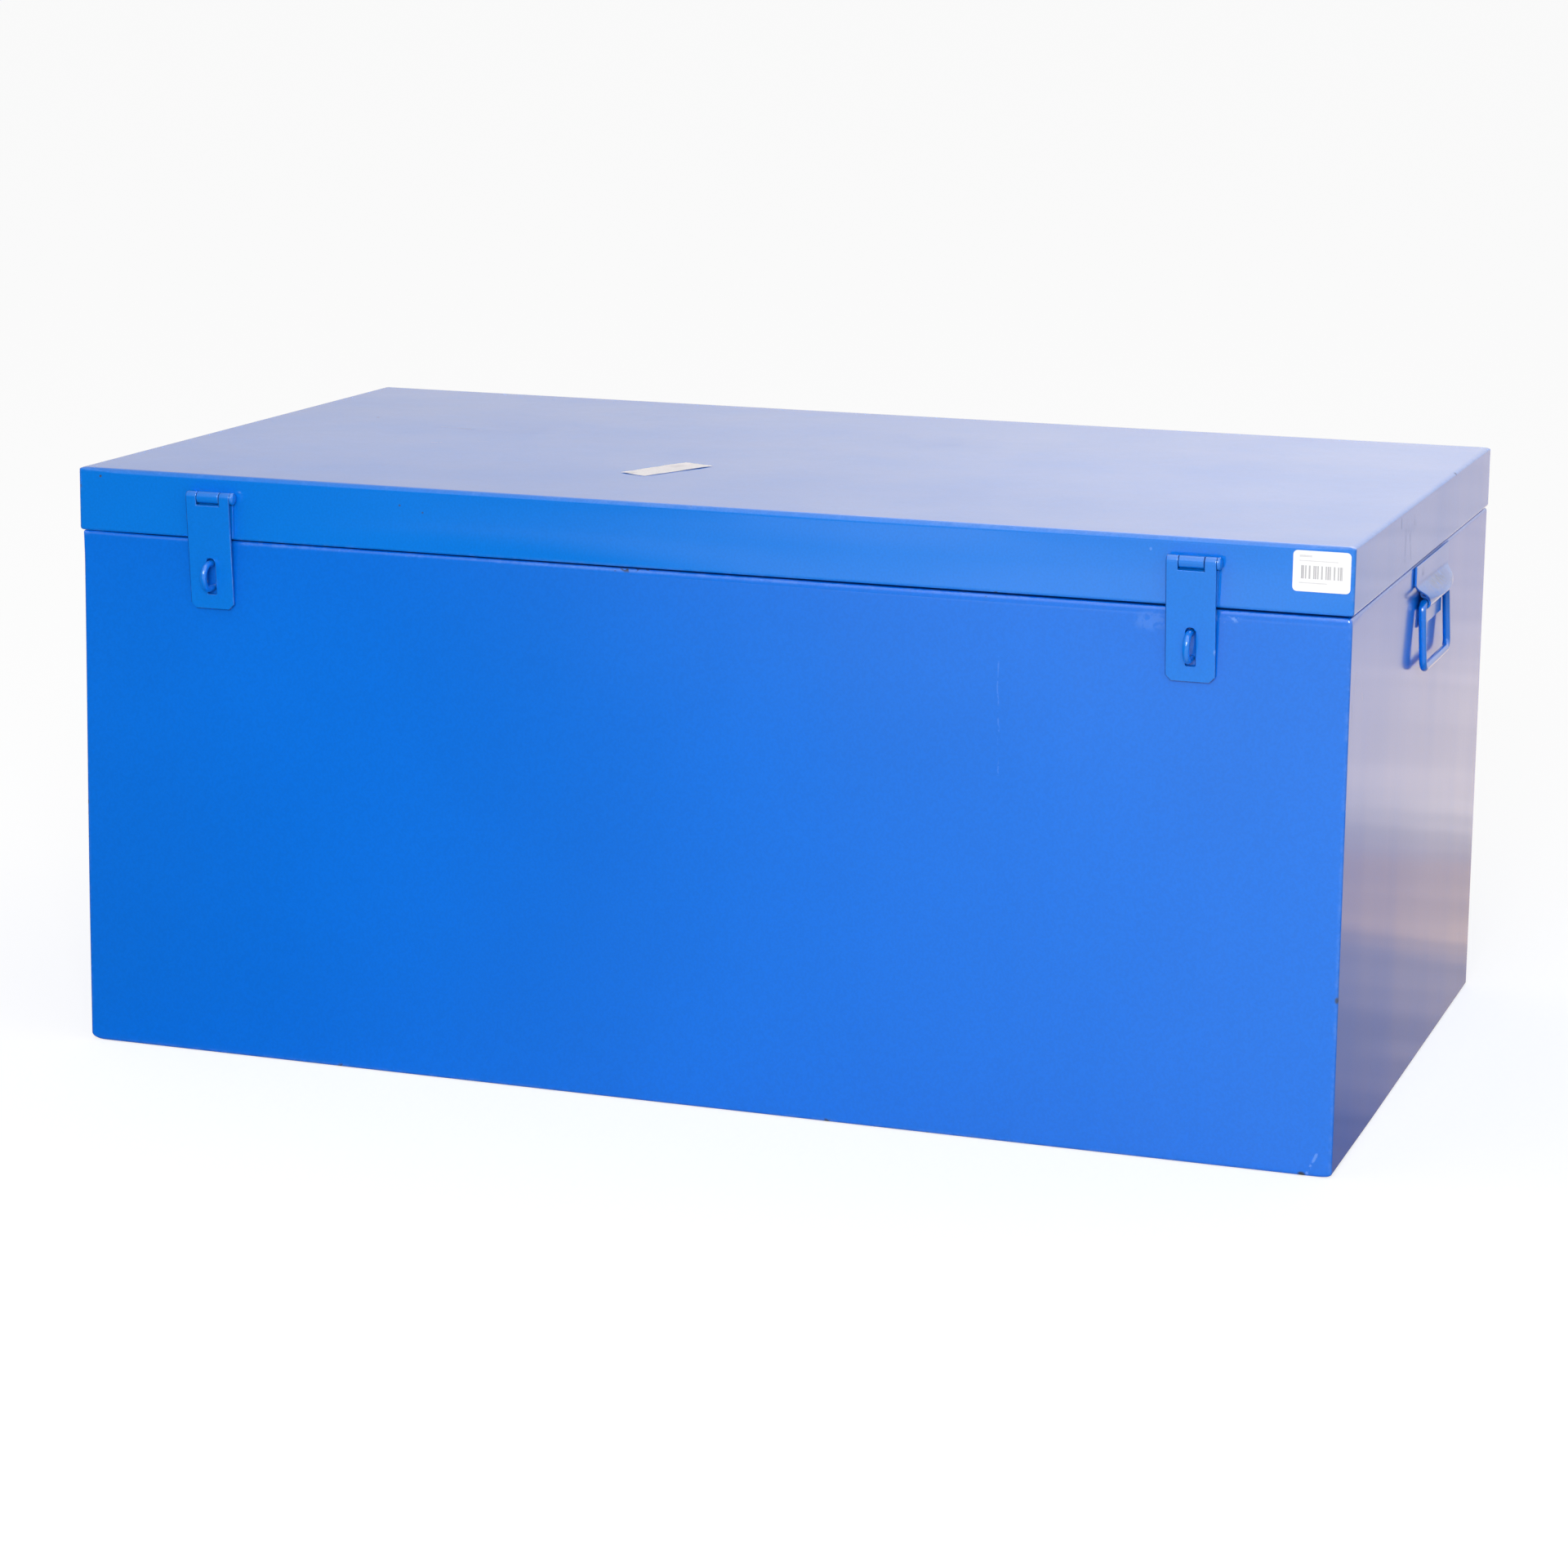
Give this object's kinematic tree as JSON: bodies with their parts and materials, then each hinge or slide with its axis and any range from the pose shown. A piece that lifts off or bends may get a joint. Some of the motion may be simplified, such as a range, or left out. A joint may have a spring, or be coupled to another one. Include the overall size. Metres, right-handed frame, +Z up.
{
  "type": "steel tool chest",
  "caption": "Low rectangular sheet-steel tool chest with a flat hinged lid, padlock hasps on the front, drop bail handles under flared guards on the ends, and slotted lid stays.",
  "frame": {"origin": "middle of the underside, on the surface that the chest stands on", "axes": "+X along the chest to its right end, -Y out of the front with the hasps, +Z up; the lid is shut, the straps hang over their staples and the handles hang 3 degrees off the wall"},
  "size_m": [1.097, 0.6416, 0.49],
  "materials": {
    "body_paint": "gloss blue enamel",
    "lid_paint": "gloss blue enamel",
    "fitting_paint": "gloss blue enamel, rubbed at the edges",
    "zinc_plate": "zinc plated"
  },
  "bodies": {
    "chest": {"body_walls": "body_paint", "floor_panel": "body_paint", "hinge_body_leaf_left": "fitting_paint", "hinge_body_leaf_centre": "fitting_paint", "hinge_body_leaf_right": "fitting_paint", "hinge_pin_left": "fitting_paint", "hinge_pin_centre": "fitting_paint", "hinge_pin_right": "fitting_paint", "hasp_staple_left": "fitting_paint", "hasp_staple_right": "fitting_paint", "handle_saddle_left": "fitting_paint", "handle_saddle_right": "fitting_paint", "handle_visor_left": "fitting_paint", "handle_visor_right": "fitting_paint", "stay_stud_left": "zinc_plate", "stay_stud_right": "zinc_plate"},
    "lid": {"lid_pan": "lid_paint", "lid_stiffener_left": "lid_paint", "lid_stiffener_right": "lid_paint", "hinge_lid_leaf_left": "fitting_paint", "hinge_lid_leaf_centre": "fitting_paint", "hinge_lid_leaf_right": "fitting_paint", "hasp_base_left": "fitting_paint", "hasp_base_right": "fitting_paint", "hasp_pin_left": "fitting_paint", "hasp_pin_right": "fitting_paint", "stay_lug_left": "fitting_paint", "stay_lug_right": "fitting_paint", "stay_rivet_left": "zinc_plate", "stay_rivet_right": "zinc_plate"},
    "left_strap": {"hasp_strap_left": "fitting_paint"},
    "right_strap": {"hasp_strap_right": "fitting_paint"},
    "left_bail": {"handle_bail_left": "fitting_paint"},
    "right_bail": {"handle_bail_right": "fitting_paint"},
    "left_stay": {"stay_arm_left": "zinc_plate"},
    "right_stay": {"stay_arm_right": "zinc_plate"}
  },
  "joints": [
    {"name": "lid_hinge", "type": "hinge", "parent": "chest", "child": "lid", "pos_m": [0, 0.31, 0.4362], "axis": [-1, 0, 0], "range_deg": [0, 100]},
    {"name": "left_strap_swing", "type": "hinge", "parent": "lid", "child": "left_strap", "pos_m": [-0.411, -0.3113, 0.4723], "axis": [-1, 0, 0], "range_deg": [0, 175]},
    {"name": "right_strap_swing", "type": "hinge", "parent": "lid", "child": "right_strap", "pos_m": [0.411, -0.3113, 0.4723], "axis": [-1, 0, 0], "range_deg": [0, 175]},
    {"name": "left_bail_swing", "type": "hinge", "parent": "chest", "child": "left_bail", "pos_m": [-0.5372, 0.024, 0.403], "axis": [0, 1, 0], "range_deg": [-3, 87]},
    {"name": "right_bail_swing", "type": "hinge", "parent": "chest", "child": "right_bail", "pos_m": [0.5372, 0.024, 0.403], "axis": [0, -1, 0], "range_deg": [-3, 87]},
    {"name": "left_stay_pivot", "type": "hinge", "parent": "lid", "child": "left_stay", "pos_m": [-0.5139, 0.11309, 0.4712], "axis": [-1, 0, 0], "range_deg": [-50, 0]},
    {"name": "right_stay_pivot", "type": "hinge", "parent": "lid", "child": "right_stay", "pos_m": [0.5139, 0.11309, 0.4712], "axis": [-1, 0, 0], "range_deg": [-50, 0]}
  ],
  "couplings": [
    {"joint": "left_stay_pivot", "follows": "lid_hinge", "ratio": -0.5},
    {"joint": "right_stay_pivot", "follows": "lid_hinge", "ratio": -0.5}
  ]
}
